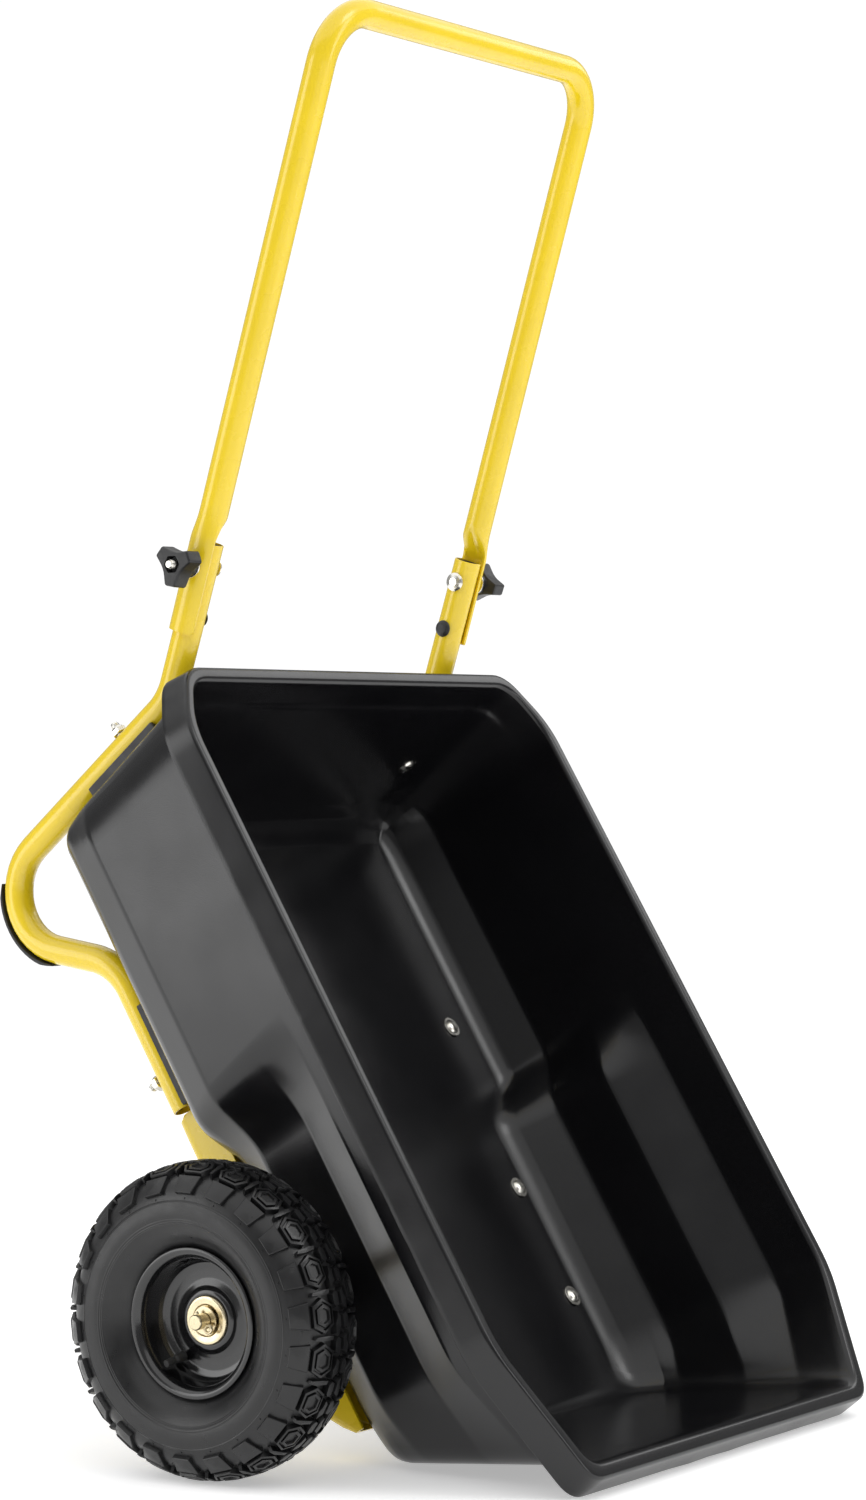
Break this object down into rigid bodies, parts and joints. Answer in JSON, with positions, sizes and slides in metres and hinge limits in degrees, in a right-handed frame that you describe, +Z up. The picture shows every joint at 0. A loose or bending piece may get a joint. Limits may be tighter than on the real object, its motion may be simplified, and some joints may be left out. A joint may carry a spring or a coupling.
{
  "type": "garden cart",
  "caption": "Two-wheeled garden cart: deep moulded tub on a bent-tube frame with pneumatic wheels and a fold-down loop handle, standing tipped forward.",
  "frame": {"origin": "on the ground, under the centre of the bounding box", "axes": "+X forward, away from the handle; +Y to the cart's left; +Z up"},
  "size_m": [0.6267, 0.728, 1.2236],
  "materials": {
    "tub_plastic": "satin black moulded polyethylene",
    "yellow_powder_coat": "gloss yellow powder coat on steel",
    "zinc_plate": "zinc plated steel",
    "tyre_rubber": "matt black rubber with a block tread",
    "soft_rubber": "matt black rubber",
    "rim_paint": "gloss black painted steel",
    "black_plastic": "matt black moulded plastic",
    "grey_plastic": "matt dark grey moulded plastic"
  },
  "bodies": {
    "cart": {"axle": "zinc_plate", "axle_bracket_left": "yellow_powder_coat", "axle_bracket_right": "yellow_powder_coat", "axle_spacer_left": "zinc_plate", "axle_spacer_right": "zinc_plate", "axle_washer_left": "zinc_plate", "axle_washer_right": "zinc_plate", "back_spacer_left": "grey_plastic", "back_spacer_right": "grey_plastic", "cotter_pin_left": "zinc_plate", "cotter_pin_right": "zinc_plate", "floor_spacer_left": "grey_plastic", "floor_spacer_right": "grey_plastic", "foot_pad_left": "soft_rubber", "foot_pad_right": "soft_rubber", "knob_washer_left": "zinc_plate", "knob_washer_right": "zinc_plate", "pivot_bolt_left": "zinc_plate", "pivot_bolt_right": "zinc_plate", "side_rail_left": "yellow_powder_coat", "side_rail_right": "yellow_powder_coat", "snap_plug_left": "black_plastic", "snap_plug_right": "black_plastic", "tub": "tub_plastic", "tub_bolt_1": "zinc_plate", "tub_bolt_2": "zinc_plate", "tub_bolt_3": "zinc_plate", "tub_bolt_4": "zinc_plate", "tub_bolt_5": "zinc_plate", "tub_bolt_6": "zinc_plate", "tub_bolt_7": "zinc_plate", "tub_bolt_8": "zinc_plate", "tub_nut_1": "zinc_plate", "tub_nut_2": "zinc_plate", "tub_nut_3": "zinc_plate", "tub_nut_4": "zinc_plate", "tub_nut_5": "zinc_plate", "tub_nut_6": "zinc_plate", "tub_nut_7": "zinc_plate", "tub_nut_8": "zinc_plate"},
    "handle": {"handle": "yellow_powder_coat"},
    "wheel_left": {"tyre_left": "tyre_rubber", "inner_tube_left": "soft_rubber", "rim_outer_left": "rim_paint", "rim_inner_left": "rim_paint", "hub_tube_left": "rim_paint", "bearing_outer_left": "zinc_plate", "bearing_inner_left": "zinc_plate", "valve_stem_left": "soft_rubber"},
    "wheel_right": {"tyre_right": "tyre_rubber", "inner_tube_right": "soft_rubber", "rim_outer_right": "rim_paint", "rim_inner_right": "rim_paint", "hub_tube_right": "rim_paint", "bearing_outer_right": "zinc_plate", "bearing_inner_right": "zinc_plate", "valve_stem_right": "soft_rubber"},
    "knob_left": {"knob_left": "black_plastic"},
    "knob_right": {"knob_right": "black_plastic"}
  },
  "joints": [
    {"name": "handle_fold", "type": "hinge", "parent": "cart", "child": "handle", "pos_m": [-0.09444, 0, 0.74876], "axis": [0, 1, 0], "range_deg": [0, 132]},
    {"name": "wheel_left_spin", "type": "hinge", "parent": "cart", "child": "wheel_left", "pos_m": [0.00179, 0.3216, 0.13], "axis": [0, 1, 0], "continuous": true},
    {"name": "wheel_right_spin", "type": "hinge", "parent": "cart", "child": "wheel_right", "pos_m": [0.00179, -0.3216, 0.13], "axis": [0, 1, 0], "continuous": true},
    {"name": "knob_left_turn", "type": "hinge", "parent": "cart", "child": "knob_left", "pos_m": [-0.09444, 0.2238, 0.74876], "axis": [0, 1, 0], "continuous": true},
    {"name": "knob_right_turn", "type": "hinge", "parent": "cart", "child": "knob_right", "pos_m": [-0.09444, -0.2238, 0.74876], "axis": [0, -1, 0], "continuous": true}
  ]
}
